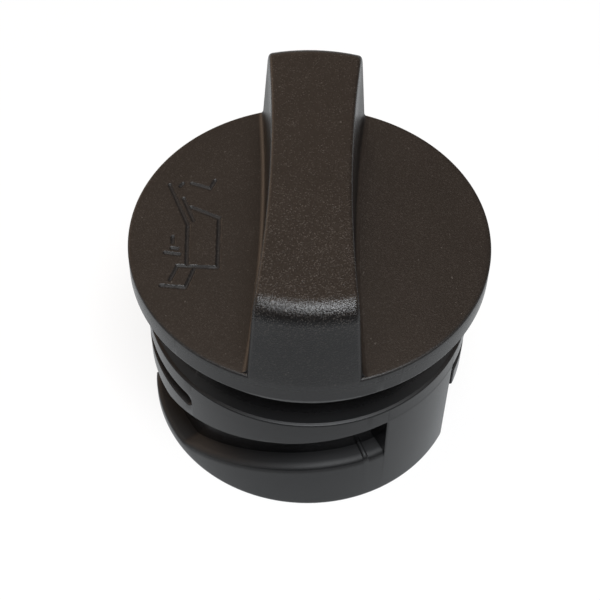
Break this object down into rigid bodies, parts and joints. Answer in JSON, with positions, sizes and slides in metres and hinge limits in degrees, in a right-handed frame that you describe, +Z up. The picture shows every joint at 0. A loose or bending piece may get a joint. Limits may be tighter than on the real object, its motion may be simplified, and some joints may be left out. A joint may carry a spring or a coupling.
{
  "type": "oil filler cap",
  "caption": "Round black moulded screw-in oil filler cap with a waisted bar handle, a seal ring under the disc and a hollow skirt with bayonet tracks.",
  "frame": {"origin": "centre of the skirt's rim at the bottom of the cap", "axes": "+Z up along the cap's axis, from the skirt to the handle; +Y along the handle; the side seen in the picture is -Y"},
  "size_m": [0.06, 0.06, 0.0563],
  "materials": {
    "black_moulding": "warm brown-black glass-filled moulding with a fine eroded grain, smoother on the skirt",
    "black_rubber": "smooth black rubber, oily sheen"
  },
  "bodies": {
    "root": {"cap_moulding": "black_moulding", "sealing_ring": "black_rubber"}
  },
  "joints": []
}
